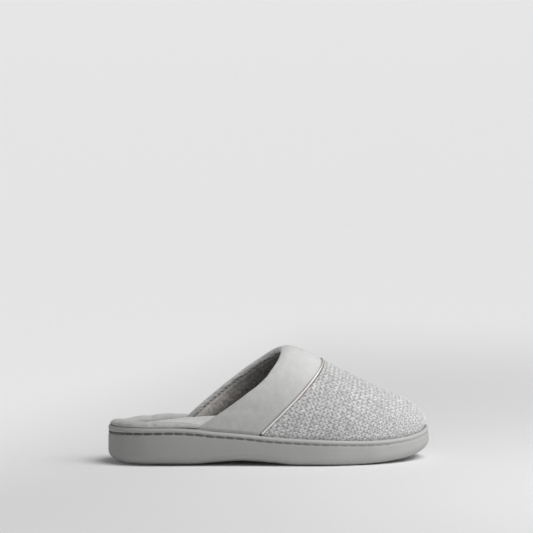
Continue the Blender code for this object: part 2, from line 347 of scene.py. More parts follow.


# %% [markdown]
# ## The moulded sole
# The real sole is one soft rubber moulding: a rolled lower edge, a plain side wall, a groove that is
# sewn nearly all round, and a rounded lip above the groove. It is lofted here as rings that follow the
# outline, each with its own inset and height. Rings give clean even faces, where carving a groove out
# of a block would leave ragged ones. The finish is matt with a very fine moulded grain. Its colour is
# painted paler towards the toe and on the lip: painted light, where the toe side and the lip's top catch
# more light.

# %% Rubber finish
WARM = (1.0, 1.0, 0.985)
rubber = Finish("matt_grey_rubber", {"Specular IOR Level": 0.35})
grain = rubber.cloud(0.9 * MM, 3)
patches = rubber.cloud(18 * MM, 2)
# Painted light: the rubber is painted paler towards the toe, which the light from the toe side falls on,
# and on the upward-facing lip; the faint patches are the rubber's own tone.
near_toe = rubber.towards((1, 0, 0)).eased(-0.12, 0.06)
painted_light_and_patches = near_toe * 0.6 + patches * 0.1 + rubber.stored("on_lip") * 0.25
rubber.surface({
    "Base Color": rubber.mixed(painted_light_and_patches, grey(0.31, WARM), grey(0.465, WARM)),
    "Roughness": 0.58 + grain * 0.12,
})
rubber.bumped(grain, 0.18 * MM)
print("rubber nodes:", len(rubber.tree.nodes))

# %% Rings of the sole
SOLE_STATIONS = 420
FOOT_RINGS = 9
RINGS_PER_ROW = 3
# Inset, extra inset in the groove, share of the groove's depth below the lip, millimetres below that
SOLE_WALL = np.array([
    (0.00, 0.00, 0.00, 10.0), (0.15, 0.00, 1.00, 2.20), (0.40, 0.00, 1.00, 0.95),
    (0.45, 0.95, 1.00, 0.55), (0.45, 1.25, 1.00, 0.00), (0.45, 0.95, 1.00, -0.50),
    (0.75, 0.00, 1.00, -0.90), (0.00, 0.00, 0.52, 0.00), (0.40, 0.00, 0.24, 0.00),
    (1.25, 0.00, 0.05, 0.00), (2.30, 0.00, 0.00, 0.00), (3.00, 0.00, 0.00, 0.50),
    (3.20, 0.00, 0.00, 1.60),
])
# The row where the lip starts
LIP_ROW = 6
# How far the rounded foot of the wall runs in under the sole, and how high it starts
SOLE_FOOT = table("from_heel under high", [
    (0, 11.0, 8.5), (14, 13.0, 8.0), (60, 14.0, 7.5), (100, 13.0, 7.5), (128, 11.0, 7.0), (150, 9.0, 6.5),
    (205, 7.0, 6.0), (258, 6.0, 6.0),
])


def ring(stations, inset_of, height_of):
    """Points once round the sole: heel, outer side, toe, inner side."""
    half = np.linspace(0, math.pi, stations + 1)
    turn = np.concatenate([half, half[-2:0:-1]])
    side = np.where(np.arange(len(turn)) <= stations, OUTER, INNER)
    plan = inset_point(turn, side, inset_of(LENGTH * (1 - np.cos(turn)) / 2))
    return np.column_stack([plan, height_of(plan[:, 0])])


def groove_cut(from_heel):
    """The groove is deepest at the heel and fades round the toe, where nothing is sewn."""
    return smooth(from_heel / MM, (0, 40, 100, 160, 205, 240, 258), (0.8, 0.8, 0.65, 0.45, 0.3, 0.2, 0.2))


def sole_rings():
    """Rings up the rounded foot, the wall and the groove, over the lip and into the cup."""
    rings = []
    for angle in np.linspace(0, math.pi / 2, FOOT_RINGS):
        rings.append(ring(
            SOLE_STATIONS,
            lambda s, a=angle: along(SOLE_FOOT, "under", s) * (1 - math.sin(a)),
            lambda x, a=angle: along(PROFILE, "underside", x)
            + along(SOLE_FOOT, "high", x) * (1 - math.cos(a)),
        ))
    knots = np.arange(len(SOLE_WALL))
    for knot in np.arange(0, knots[-1] + 0.1, 1 / RINGS_PER_ROW):
        inset, cut, share, below = [smooth(knot, knots, column) * MM for column in SOLE_WALL.T]
        rings.append(ring(
            SOLE_STATIONS,
            lambda s, i=inset, c=cut: i + c * groove_cut(s),
            lambda x, k=share, b=below: lip_top(x) - k / MM * along(PROFILE, "groove", x) - b,
        ))
    rings.append(ring(SOLE_STATIONS, lambda s: LIP_WIDTH + 0 * s, cup_floor))
    return np.array(rings)


rings = sole_rings()
print("rings of the sole:", len(rings), "with", rings.shape[1], "points each")

# %% [markdown]
# A ring is closed with strips that run straight across the foot. On the underside the strips are raised
# into shallow wavy bars, a plain tread that lets the sole grip, and the bars stop short of the edge.

# %% Close the sole above and below
def cap(ring_points, first_number, next_number, across, height_of):
    """Points and faces of strips across a ring; height_of takes x, y and the share across."""
    stations = len(ring_points) // 2
    outer = ring_points[1:stations]
    inner = ring_points[:stations:-1]
    share = np.linspace(0, 1, across + 1)[1:-1]
    inside = outer[:, None] * (1 - share[:, None]) + inner[:, None] * share[:, None]
    inside[..., 2] = height_of(inside[..., 0], inside[..., 1], share)
    number = np.empty((stations - 1, across + 1), int)
    number[:, 0] = first_number + np.arange(1, stations)
    number[:, -1] = first_number + 2 * stations - np.arange(1, stations)
    number[:, 1:-1] = next_number + np.arange(inside[..., 0].size).reshape(inside.shape[:2])
    faces = faces_between(number)
    for tip, row in ((first_number, number[0]), (first_number + stations, number[-1])):
        faces += [[tip, int(a), int(b)] for a, b in zip(row, row[1:])]
    return inside.reshape(-1, 3), faces


BAR_STEP = 8 * MM
BAR_DEPTH = 1.1 * MM


def tread(x, y, share):
    """The underside with its wavy bars."""
    wave = 2.2 * MM * np.sin(y / (5 * MM))
    bar = 0.5 + 0.5 * np.cos(2 * math.pi * (x + wave) / BAR_STEP)
    inside = ease(0.05, 0.12, np.minimum(share, 1 - share)) * ease(12 * MM, 20 * MM, x)
    inside = inside * ease(12 * MM, 20 * MM, LENGTH - x)
    return along(PROFILE, "underside", x) + BAR_DEPTH * ease(0.45, 0.75, bar) * inside


points = rings.reshape(-1, 3)
around = rings.shape[1]
faces = grid_faces(len(rings), around, closed=True)
below, below_faces = cap(rings[0], 0, len(points), 36, tread)
points = np.concatenate([points, below])
inside, inside_faces = cap(
    rings[-1], (len(rings) - 1) * around, len(points), 6, lambda x, y, share: cup_floor(x)
)
points = np.concatenate([points, inside])
# The lip's points are marked so that the finish can paint them paler, as painted light on the
# upward-facing lip.
on_lip = np.zeros(len(points))
on_lip[(FOOT_RINGS + RINGS_PER_ROW * LIP_ROW) * around:len(rings) * around] = 1
sole = make_piece(
    "moulded_sole", points, faces + below_faces + inside_faces, rubber, solid=True, on_lip=on_lip
)
settle(sole, "outsole", "outsole")

# %% [markdown]
# ## Stitches in the groove
# A thick dark thread runs round the groove in long stitches with short gaps, thinner towards the toe,
# where it stops. Its colour is painted paler towards the toe and at the very back of the heel: painted
# light, like the sole's. Each stitch is a small bean, a rounded bar that is fullest in its middle, and
# all of them are joined into one mesh, because sixty loose objects would be slow to handle.

# %% Thread finish and stitch maker
TAUPE = (1.0, 0.93, 0.87)


def spun(name):
    """A matt sewing thread that still needs its colour, and the cloud of its fibres."""
    thread = Finish(name, {"Roughness": 0.8, "Specular IOR Level": 0.3})
    fibres = thread.cloud(0.5 * MM, 2)
    thread.bumped(fibres, 0.12 * MM)
    return thread, fibres


thread, fibres = spun("dark_taupe_thread")
# Painted light: the thread is painted paler from heel to toe and again at the back of the heel, where the
# light falls more brightly; the fibres vary it a little.
painted_light_and_fibres = thread.towards((1, 0, 0)).eased(-0.13, 0.08) * 0.85 + fibres * 0.2
painted_light_and_fibres = painted_light_and_fibres + thread.towards((-1, 0, 0)).eased(0.112, 0.127) * 0.35
thread.surface({"Base Color": thread.mixed(painted_light_and_fibres, grey(0.07, TAUPE), grey(0.30, TAUPE))})


def bean(steps=14, around=10):
    """A rounded bar along X, one long, one wide and one deep."""
    turn = np.linspace(0, 2 * math.pi, around, endpoint=False)
    tip = np.linspace(0, math.pi, steps + 1)[1:-1]
    radius = np.sin(tip) ** 0.55
    rows = [np.array([[-0.5, 0, 0]])]
    for x, r in zip(-0.5 * np.cos(tip), 0.5 * radius):
        rows.append(np.column_stack([np.full(around, x), r * np.cos(turn), r * np.sin(turn)]))
    rows.append(np.array([[0.5, 0, 0]]))
    faces = []
    for i in range(len(tip) - 1):
        for k in range(around):
            a, b = 1 + i * around, 1 + i * around + around
            n = (k + 1) % around
            faces.append([a + k, b + k, b + n, a + n])
    last = 1 + (len(tip) - 1) * around
    for k in range(around):
        n = (k + 1) % around
        faces.append([0, 1 + k, 1 + n])
        faces.append([last + k, last + around, last + n])
    return np.concatenate(rows), faces


def sew(name, centres, headings, outs, sizes, finish):
    """One bean at each centre, laid along its heading with its depth along out."""
    shape, shape_faces = bean()
    across = np.cross(outs, headings)
    scaled = shape[None] * sizes[:, None]
    points = (
        centres[:, None]
        + scaled[..., :1] * headings[:, None]
        + scaled[..., 1:2] * across[:, None]
        + scaled[..., 2:] * outs[:, None]
    )
    faces = [
        [corner + stitch * len(shape) for corner in face]
        for stitch in range(len(centres))
        for face in shape_faces
    ]
    return make_piece(name, points, faces, finish, solid=True)


def unit(vectors):
    """The same directions, one long."""
    return vectors / np.linalg.norm(vectors, axis=-1, keepdims=True)


def square_to(headings, vectors):
    """Those directions turned to stand square to the headings."""
    return unit(vectors - np.sum(vectors * headings, axis=1, keepdims=True) * headings)


# %% Sew the groove
THREAD_INSET = 0.95 * MM
SEWN_TO = 226 * MM
SLANT = np.array([0, 0, 0.07])


def groove_line(inset):
    """Points round the sole along the groove, at that inset from the outline."""
    return ring(1200, lambda s: inset + 0 * s, lambda x: lip_top(x) - along(PROFILE, "groove", x))


line = groove_line(THREAD_INSET)
inner_line = groove_line(THREAD_INSET + 1 * MM)
steps = np.linalg.norm(np.roll(line, -1, axis=0) - line, axis=1)
pitch = 8.2 * MM - 0.8 * MM * ease(60 * MM, 150 * MM, line[:, 0])
counted = np.concatenate([[0], np.cumsum(steps / pitch)])
count = round(counted[-1])
index = np.searchsorted(counted, (np.arange(count) + 0.5) * counted[-1] / count) % len(line)
index = index[line[index, 0] < SEWN_TO]
heading = unit(np.roll(line, -3, axis=0) - np.roll(line, 3, axis=0))[index]
heading = unit(heading - np.sign(heading[:, :1]) * SLANT)
outward = square_to(heading, unit(line - inner_line)[index])
thickness = 1.7 * MM - 0.9 * MM * ease(60 * MM, 215 * MM, line[index, 0])
length = (0.9 - 0.14 * ease(12 * MM, 34 * MM, line[index, 0])) * pitch[index]
sizes = np.column_stack([length, thickness, thickness])
stitches = sew("sole_stitches", line[index], heading, outward, sizes, thread)
settle(stitches, "outsole")
print("stitches round the sole:", len(index))

# %% [markdown]
# ## The soft footbed
# Inside the lip lies a foam footbed covered in a short soft pile. Its top dips where the heel rests and
# rises under the arch. Rings make its rounded edge and strips close its top. Small lumps, and a cloth
# simulation with air pressure inside, keep it from looking machined. The pile itself is too fine for
# points, so it is bump.

# %% Pile finish for footbed and heel roll
def short_pile(name, dark, light, lighter_inside):
    """A brushed fabric between two shades; it can be lighter towards the inner side of the foot."""
    pile = Finish(name, {
        "Roughness": 0.95, "Specular IOR Level": 0.15, "Sheen Weight": 0.25, "Sheen Roughness": 0.5,
    })
    loops = pile.cloud(1.1 * MM, 2)
    tufts = pile.cloud(0.45 * MM, 2)
    brushed = pile.cloud(9 * MM, 3)
    shade = (loops * 0.5 + brushed * 0.5).eased(0.3, 0.7) * (1 - lighter_inside)
    shade = shade + pile.towards((0, 1, 0)).eased(-0.022, 0.022) * lighter_inside
    brushed_up = pile.mixed(shade, grey(dark, WARM), grey(light, WARM))
    # A stored value paints shade into the pile: the inward face of the heel roll is painted darker, as
    # painted shade where little light reaches.
    pile.surface({"Base Color": pile.mixed(pile.stored("crevice"), brushed_up, grey(0.2, WARM))})
    pile.bumped(loops * 0.6 + tufts * 0.4, 0.7 * MM)
    return pile


footbed_pile = short_pile("light_grey_pile", 0.63, 0.77, 0)
roll_pile = short_pile("mid_grey_pile", 0.41, 0.66, 0.55)

# %% Foam that swells under cloth
PRESSURE = 4


def swollen(points, faces, sewn, most):
    """A closed pad's points after cloth pressure; sewn points stay, and none moves further than most."""
    # The pad swells twenty times as large, because the cloth solver is made for larger things
    enlarged = 20
    mesh = bpy.data.meshes.new("pad")
    mesh.from_pydata((points * enlarged).tolist(), [], faces)
    face_outwards(mesh)
    pad = bpy.data.objects.new("pad", mesh)
    scene = bpy.context.scene
    scene.collection.objects.link(pad)
    pad.vertex_groups.new(name="sewn").add(np.flatnonzero(sewn).tolist(), 1.0, "REPLACE")
    cloth = pad.modifiers.new("cloth", "CLOTH")
    cloth.settings.vertex_group_mass = "sewn"
    cloth.settings.use_pressure = True
    cloth.settings.uniform_pressure_force = PRESSURE
    cloth.settings.effector_weights.gravity = 0
    for moment in range(1, 21):
        scene.frame_set(moment)
    shaped = pad.evaluated_get(bpy.context.evaluated_depsgraph_get()).data
    after = np.empty(len(points) * 3)
    shaped.vertices.foreach_get("co", after)
    scene.frame_set(1)
    bpy.data.objects.remove(pad)
    moved = after.reshape(-1, 3) / enlarged - points
    far = np.linalg.norm(moved, axis=1, keepdims=True) + 1e-9
    print("cloth pressure moved points by up to mm:", round(float(far.max() / MM), 2))
    return points + moved * most * np.tanh(far / most) / far


# %% Shape of the footbed
FOOTBED_STATIONS = 220
FOOTBED = table("from_heel middle edge_rise", [
    (0, 29.0, 0), (20, 28.8, 0.2), (36, 29.2, 0.3), (46, 30.4, 0.3), (66, 32.4, 0.3), (88, 33.2, 0.2),
    (105, 32.0, -0.2), (120, 29.6, -0.4), (150, 25.6, 0), (190, 23.7, 0), (225, 23.4, 0), (258, 27.0, 0),
])
FOOTBED_EDGE = table("from_heel inset", [(0, 12.6), (76, 12.6), (94, 8.9), (258, 8.9)])
EDGE_WIDE, EDGE_HIGH = 3.2 * MM, 2.8 * MM
# Rings from the bottom up that are glued into the cup
GLUED_RINGS = 4


def footbed_height(x, y, share):
    """Top of the footbed; share runs from the outer to the inner edge."""
    from_middle = np.abs(2 * share - 1)
    top = along(FOOTBED, "middle", x) + along(FOOTBED, "edge_rise", x) * from_middle**2
    spot = np.stack([x, y, 0 * x], axis=-1)
    return top + 0.35 * MM * lumps(spot, 14 * MM, 3) + 0.12 * MM * lumps(spot, 2.5 * MM, 4)


def footbed_ring(extra, height_of):
    return ring(FOOTBED_STATIONS, lambda s: along(FOOTBED_EDGE, "inset", s) + extra, height_of)


def edge_top(x):
    return along(FOOTBED, "middle", x) + along(FOOTBED, "edge_rise", x)


rings = [footbed_ring(0, lambda x: cup_floor(x) + GAP)]
for angle in np.linspace(0, math.pi / 2, 7):
    rings.append(footbed_ring(
        EDGE_WIDE * (1 - math.cos(angle)),
        lambda x, a=angle: edge_top(x) - EDGE_HIGH * (1 - math.sin(a)),
    ))
rings = np.array(rings)
around = rings.shape[1]
points = rings.reshape(-1, 3)
faces = grid_faces(len(rings), around, closed=True)
above, above_faces = cap(rings[-1], (len(rings) - 1) * around, len(points), 60, footbed_height)
points = np.concatenate([points, above])
below, below_faces = cap(rings[0], 0, len(points), 4, lambda x, y, share: cup_floor(x) + GAP)
points = np.concatenate([points, below])
faces = faces + above_faces + below_faces
sewn = np.arange(len(points)) < GLUED_RINGS * around
sewn[-len(below):] = True
points = swollen(points, faces, sewn, 0.7 * MM)
footbed = make_piece("soft_footbed", points, faces, footbed_pile, solid=True)
settle(footbed, "insole", "insole")

# %% [markdown]
# ## Ribs of the upper
# The upper is drawn as ribs that stand on the sole like the hoops of a tent: each one starts in the
# outer side of the cup, crosses the ridge and comes down on the inner side. Any point of the upper is
# then two numbers: how many ribs from the collar, and how far across. Band, knit, lining and piping all
# lie on this one surface, so they meet without gaps.

# %% The upper as a surface
WALL = 3.5 * MM
BULGE = 1.4 * MM
RIBS = table("outer inner ridge height shift", [
    (60, 58, 137.0, 89.6, 2.0), (69, 66, 143.5, 91.0, 2.0), (88, 84, 154.5, 88.2, 2.0),
    (114, 108, 171.0, 79.7, 2.0), (146, 142, 193.0, 68.4, 2.5), (177, 174, 213.0, 58.2, 3.5),
    (206, 206, 232.0, 50.0, 5.0), (230, 232, 245.0, 42.8, 6.5), (244, 246, 252.0, 35.6, 7.5),
    (251, 252, 254.9, 30.2, 7.8), (254, 255, 254.5, 26.8, 8.0), (256.5, 257, 254.5, 22.7, 8.0),
])
RIB_SHAPE = dict(zip("outer_sweep inner_sweep lift fullness".split(), np.array([
    (1.40, 0.90, 1.0, 0.80), (1.40, 0.95, 1.0, 0.80), (1.30, 1.05, 1.0, 0.81),
    (1.20, 1.20, 1.1, 0.82), (1.20, 1.20, 1.3, 0.84), (1.15, 1.15, 1.6, 0.86),
    (1.10, 1.10, 2.0, 0.88), (1.00, 1.00, 2.0, 0.90), (1.00, 1.00, 2.0, 0.92),
    (1.00, 1.00, 2.0, 0.96), (1.00, 1.00, 2.0, 1.00), (1.00, 1.00, 2.0, 1.00),
]).T))
COLLAR_RIB, PIPING_RIB, TOE_RIB = 0, 3, 11


def upper_face(row, arc):
    """Points of the upper's outer face, for ribs from the collar and arcs from -1 to 1."""
    row, arc = np.asarray(row, float), np.asarray(arc, float)
    outer = arc < 0

    def rib(values):
        return smooth(row, np.arange(TOE_RIB + 1), values)

    side = np.where(outer, OUTER, INNER)
    station = np.where(outer, rib(RIBS["outer"]), rib(RIBS["inner"]))
    side = np.broadcast_to(side, station.shape)
    foot = inset_point(turn_at(station), side, LIP_WIDTH + 1.5 * GAP)
    foot_z = cup_floor(foot[..., 0]) + 2.5 * GAP
    ridge_z = np.maximum(rib(RIBS["height"]), foot_z)
    sweep = np.where(outer, rib(RIB_SHAPE["outer_sweep"]), rib(RIB_SHAPE["inner_sweep"]))
    fullness = rib(RIB_SHAPE["fullness"])
    angle = np.abs(arc) * math.pi / 2
    rise = np.maximum(np.cos(angle), 0) ** fullness
    spread = np.sin(angle) ** fullness
    bulge = BULGE * np.sin(math.pi * rise) ** 2 * np.minimum(1, (ridge_z - foot_z) / (40 * MM))
    swept = (1 - rise ** rib(RIB_SHAPE["lift"])) ** sweep
    ridge_x, ridge_y = rib(RIBS["ridge"]), rib(RIBS["shift"])
    return np.stack([
        ridge_x + (foot[..., 0] - ridge_x) * swept,
        ridge_y + (foot[..., 1] - ridge_y) * spread + side * bulge,
        foot_z + (ridge_z - foot_z) * rise,
    ], axis=-1)


def upper_out(row, arc):
    """The direction out of that face."""
    row, arc = np.asarray(row, float), np.asarray(arc, float)
    nudge = 0.01
    forwards = upper_face(np.minimum(row + nudge, TOE_RIB), arc) - upper_face(
        np.maximum(row - nudge, COLLAR_RIB), arc
    )
    across = upper_face(row, np.minimum(arc + nudge, 1)) - upper_face(row, np.maximum(arc - nudge, -1))
    return unit(np.cross(forwards, across))


def run_lengths(points, axis):
    """Distance walked along one direction of a grid of points."""
    steps = np.linalg.norm(np.diff(points, axis=axis), axis=-1)
    start = np.zeros_like(np.take(steps, [0], axis=axis))
    return np.concatenate([start, np.cumsum(steps, axis=axis)], axis=axis)


ridge = upper_face(np.linspace(COLLAR_RIB, TOE_RIB, 200), 0)
print("ridge from collar to toe, mm:", round(float(run_lengths(ridge, 0)[-1] / MM), 1))

# %% [markdown]
# ## The padded heel roll
# Round the open heel a padded roll of a darker pile stands in the cup and swells out over the lip. It is
# a section swept along the outline: straight below, rounded above. Its two ends tuck against the
# collar. Foam under fabric is never perfectly even, so the roll is blown up as cloth, lumped a little
# and pinched in places.

# %% Sweep the heel roll
ROLL_WIDTH = 8.5 * MM
ROLL_SHARES = (0, 0.25, 0.44, 0.58, 0.75, 0.9, 1)
ROLL_CREST = table("outer inner", [
    (33.5, 33.5), (34.1, 32.5), (34.5, 31.1), (34.5, 32.5), (34.4, 33.6), (33.6, 34.4), (32.4, 34.0),
])
ROLL_SECTION = np.array([
    (0.00, 0.00), (0.00, 0.80), (-0.22, 1.00), (-0.27, 1.50), (-0.10, 1.92), (0.30, 2.02),
    (0.76, 1.86), (0.96, 1.30), (1.00, 0.50), (1.00, 0.00),
])
ROLL_KNOTS = np.arange(len(ROLL_SECTION))
ROLL_FINE = np.linspace(0, ROLL_KNOTS[-1], 54)
# Where the roll is pinched: side, distance from the heel, width and depth
PINCHES = [(OUTER, 32.5, 2.4, 0.8), (INNER, 36, 3.0, 0.7), (OUTER, 50, 4.0, 0.35), (INNER, 58, 4.0, 0.4)]


def collar_edge(outer, height):
    """How far from the heel the collar's edge stands at a height."""
    foot_x = np.where(outer, RIBS["outer"][0], RIBS["inner"][0])
    foot_z = cup_floor(foot_x) + 2.5 * GAP
    rise = np.maximum(height - foot_z, 0) / (RIBS["height"][0] - foot_z)
    sweep = np.where(outer, RIB_SHAPE["outer_sweep"][0], RIB_SHAPE["inner_sweep"][0])
    return RIBS["ridge"][0] + (foot_x - RIBS["ridge"][0]) * (1 - rise) ** sweep


def heel_roll_points(steps=320):
    """Sections of the roll, from the outer end of the collar round the heel to the inner end."""
    place = np.linspace(-1, 1, steps + 1)[:, None]
    outer = place < 0
    side = np.where(outer, OUTER, INNER)
    share = np.abs(place)
    crests = [smooth(share, ROLL_SHARES, ROLL_CREST[name]) for name in ("outer", "inner")]
    crest = np.where(outer, *crests)
    width, level = [smooth(ROLL_FINE, ROLL_KNOTS, column)[None] for column in ROLL_SECTION.T]
    inset = LIP_WIDTH + GAP + ROLL_WIDTH * width
    side = np.broadcast_to(side, (len(place), len(ROLL_FINE)))
    low_turn = share * turn_at(collar_edge(outer, 0) - 0.5 * MM)
    low_x = inset_point(np.broadcast_to(low_turn, side.shape), side, inset)[..., 0]
    floor_z, lip_z = cup_floor(low_x) + GAP, lip_top(low_x) + 2 * GAP
    height = np.where(
        level < 1, floor_z + (lip_z - floor_z) * level, lip_z + (crest - lip_z) * (level - 1)
    )
    turn = share * turn_at(collar_edge(outer, height) - 0.5 * MM)
    plan = inset_point(turn, side, inset)
    return np.concatenate([plan, height[..., None]], axis=-1)


# %% Swell, dimple and pinch the roll
roll = heel_roll_points()
faces = tube_faces(*roll.shape[:2])
section_width, section_level = [np.interp(ROLL_FINE, ROLL_KNOTS, column) for column in ROLL_SECTION.T]
sewn = np.broadcast_to(section_level <= 1.05, roll.shape[:2]).copy()
sewn[[0, -1]] = True
roll = swollen(roll.reshape(-1, 3), faces, sewn.ravel(), 0.8 * MM).reshape(roll.shape)
middle = roll.mean(axis=1, keepdims=True)
free = ease(0.9, 1.5, section_level)[None, :, None]
swell = 0.4 * MM * lumps(roll, 13 * MM, 5) + 0.15 * MM * lumps(roll, 3 * MM, 6)
for side, spot, wide, deep in PINCHES:
    near = hump(roll[..., 0] - spot * MM, wide * MM) * (side * roll[..., 1] > 0)
    swell = swell - deep * MM * near
roll = roll + free * swell[..., None] * unit(roll - middle)
# Painted shade on the roll's inward face, towards the footbed.
crevice = np.broadcast_to(0.22 * ease(0.45, 0.95, section_width), roll.shape[:2])
heel_roll = make_piece("heel_roll", roll, faces, roll_pile, solid=True, crevice=crevice)
settle(heel_roll, "heel_rim", "heel_rim")

# %% [markdown]
# ## The velour collar band
# A band of smooth velour runs over the instep. Its rear edge is turned in over the padding and sewn
# down inside, so the edge is a soft roll, and a strip of the same velour with a row of needle holes
# shows on the inner side. Each column of points is walked from inside, round that edge and forwards to
# the piping seam, where the band dives under the piping. Soft troughs at listed places are the creases of
# the real band. Holes and seams are darkened by a stored value, because little light gets into them.

# %% Velour finish
GREENISH = (0.992, 1.0, 0.985)
BROWNISH = (1.0, 0.95, 0.91)
velour = Finish("grey_velour", {
    "Roughness": 0.9, "Specular IOR Level": 0.2, "Sheen Weight": 0.35, "Sheen Roughness": 0.45,
})
nap = velour.cloud(0.4 * MM, 2)
stroked = velour.cloud(4.5 * MM, 3, stretch=(1.0, 1.0, 0.7))
# Painted light: the velour is painted lighter towards the toe, the inner side and the top, where the light
# falls, and darker low on the outer side.
painted_light_gradient = velour.towards((0.6, 1.0, 0.8)).eased(-0.045, 0.07)
tone = painted_light_gradient * 0.75 + (stroked * 0.6 + nap * 0.4).eased(0.3, 0.7) * 0.28 - 0.03
outside = velour.mixed(tone, grey(0.43, GREENISH), grey(0.67, GREENISH))
velour.surface({"Base Color": velour.mixed(velour.stored("crevice"), outside, grey(0.09, BROWNISH))})
velour.bumped(nap, 0.2 * MM)

# %% Walk over the upper
# The rib half way between collar and piping
MID_BAND = 1.5


def even_columns(count):
    """Arcs in even steps along the middle of the band, and how far each lies from the ridge."""
    dense = np.linspace(-1, 1, 1601)
    length = run_lengths(upper_face(MID_BAND, dense), 0)
    arcs = np.interp(np.linspace(0, length[-1], count + 1), length, dense)
    beside = run_lengths(upper_face(MID_BAND, arcs), 0)
    return arcs, beside - np.interp(0, arcs, beside)


def ribs_walked(arcs, end_rib):
    """Ribs from the collar's edge to a last one, and the distance walked to each at every arc."""
    rows = np.linspace(COLLAR_RIB, end_rib, 181)
    return rows, run_lengths(upper_face(rows[:, None], arcs[None]), 0)


def walk(arcs, forwards, off, end_rib=PIPING_RIB):
    """Points at distances from the collar's edge and off the face; one column for each arc."""
    rows, length = ribs_walked(arcs, end_rib)
    columns = [np.interp(forwards[:, k], length[:, k], rows) for k in range(len(arcs))]
    row = np.stack(columns, axis=1)
    return upper_face(row, arcs[None]) + off[..., None] * upper_out(row, arcs[None])


def above_lip(points):
    """0 down in the cup, 1 clear of the lip; padding grows with it, so cloth tucks in behind the lip."""
    return ease(-0.5 * MM, 3.0 * MM, points[..., 2] - lip_top(points[..., 0]))


# %% Edge, seam and needle holes of the band
STRIP_ROWS = 14
TURN_IN = 7.4 * MM
SEAM = TURN_IN - 1.2 * MM
STITCH_STEP = 3.9 * MM
PADDING = 0.4 * MM
ROUND = (WALL + 2 * PADDING) / 2


def band_path():
    """Distance forwards from the collar's edge and height off the outer face, from inside to outside."""
    inside = np.linspace(TURN_IN, ROUND, STRIP_ROWS + 1)[:-1]
    tuck = 0.6 * MM * ease(SEAM, TURN_IN, inside)
    turn = np.linspace(-math.pi / 2, math.pi / 2, 15)
    centre = PADDING - ROUND
    path = [(t, 2 * centre - PADDING + d) for t, d in zip(inside, tuck)]
    path += [(ROUND - ROUND * math.cos(a), centre + ROUND * math.sin(a)) for a in turn]
    return np.array(path)


def needle_holes(beside, forwards):
    """1 in each hole of the seam inside the collar, 0 away from them."""
    beat = 0.5 + 0.5 * np.cos(2 * math.pi * beside / STITCH_STEP)
    return beat**1.5 * hump(forwards - SEAM, 1.3 * MM)


# %% Creases and dents
# Distance from the ridge along the band, distance from its edge, turn, then length, width and depth
CREASES = [
    (-53, 3.5, 0, 6, 0.9, 0.24), (-49, 6.2, 5, 5, 0.9, 0.18), (-31, 4.5, 0, 8, 1.4, 0.15),
    (-80, 15, 78, 13, 5, 0.30), (-63, 19, 98, 11, 5, 0.22), (-24, 17, 85, 12, 6, 0.22),
    (30, 18, 95, 14, 6, 0.28), (52, 9, 40, 10, 4, 0.22), (72, 20, 84, 14, 6, 0.30),
]
# Where the rolled edge is dented forwards: distance from the ridge, width and depth
DENTS = [(-47, 9.0, 1.3), (-41, 2.5, 0.4), (-54, 2.5, 0.4), (24, 5.0, 0.4)]


def creased(beside, forwards):
    """How deep the creases lie at a place on the band."""
    total = 0 * forwards
    for side, front, turn, length, width, depth in CREASES:
        a = math.radians(turn)
        x, y = beside - side * MM, forwards - front * MM
        lengthways = (x * math.cos(a) + y * math.sin(a)) / (length * MM)
        sideways = (y * math.cos(a) - x * math.sin(a)) / (width * MM)
        total = total + depth * MM * np.exp(-(lengthways**2) - sideways**2)
    return total


def dented(beside):
    """How far the rolled edge is pushed forwards at a distance from the ridge."""
    return sum(depth * MM * hump(beside - side * MM, width * MM) for side, width, depth in DENTS)


# %% Walk the collar band
BAND_COLUMNS = 480
FRONT_ROWS = 63
SWELL = 0.3 * MM
arcs, beside = even_columns(BAND_COLUMNS)
dent = dented(beside[None])
edge = band_path()
edge_forwards = edge[:, :1] + dent
edge_off = np.repeat(edge[:, 1:], len(arcs), axis=1)
turned_in = 1 - ease(-3 * MM, -1 * MM, edge_off)
holes = needle_holes(beside[None], edge[:, :1]) * turned_in
spot = np.stack(np.broadcast_arrays(beside[None], run_lengths(edge, 0)[:, None], 0), axis=-1)
edge_off = edge_off + 0.8 * MM * holes - 0.5 * MM * lumps(spot, 2.6 * MM, 7) * turned_in
band_length = ribs_walked(arcs, PIPING_RIB)[1][-1]
share = np.linspace(0, 1, FRONT_ROWS + 1)[1:, None]
front_forwards = ROUND + dent + (band_length[None] - ROUND - dent) * share
to_seam = band_length[None] - front_forwards
puff = PADDING + SWELL * np.sin(math.pi * share) ** 0.8
puff = puff - (PADDING + SWELL) * (1 - ease(0, 2.6 * MM, to_seam))
# The groove beside the piping is deep low down and closes towards the ridge
high_up = ease(58 * MM, 74 * MM, upper_face(PIPING_RIB, arcs)[:, 2])[None]
puff = puff + (1.2 * high_up - 0.7) * MM * (1 - ease(0.8 * MM, 1.7 * MM, to_seam))
forwards = np.concatenate([edge_forwards, front_forwards])
off = np.concatenate([edge_off, puff - creased(beside[None], front_forwards)])
lengths = np.round(band_length[[BAND_COLUMNS // 2, 0]] / MM, 1).tolist()
print("collar band, length at ridge and at the sole in mm:", lengths)

# %% Make the collar band
padded = walk(arcs, forwards, off)
bare = walk(arcs, forwards, np.minimum(off, 0))
band = bare + (padded - bare) * above_lip(padded)[..., None]
faces = grid_faces(*band.shape[:2], flip=True)
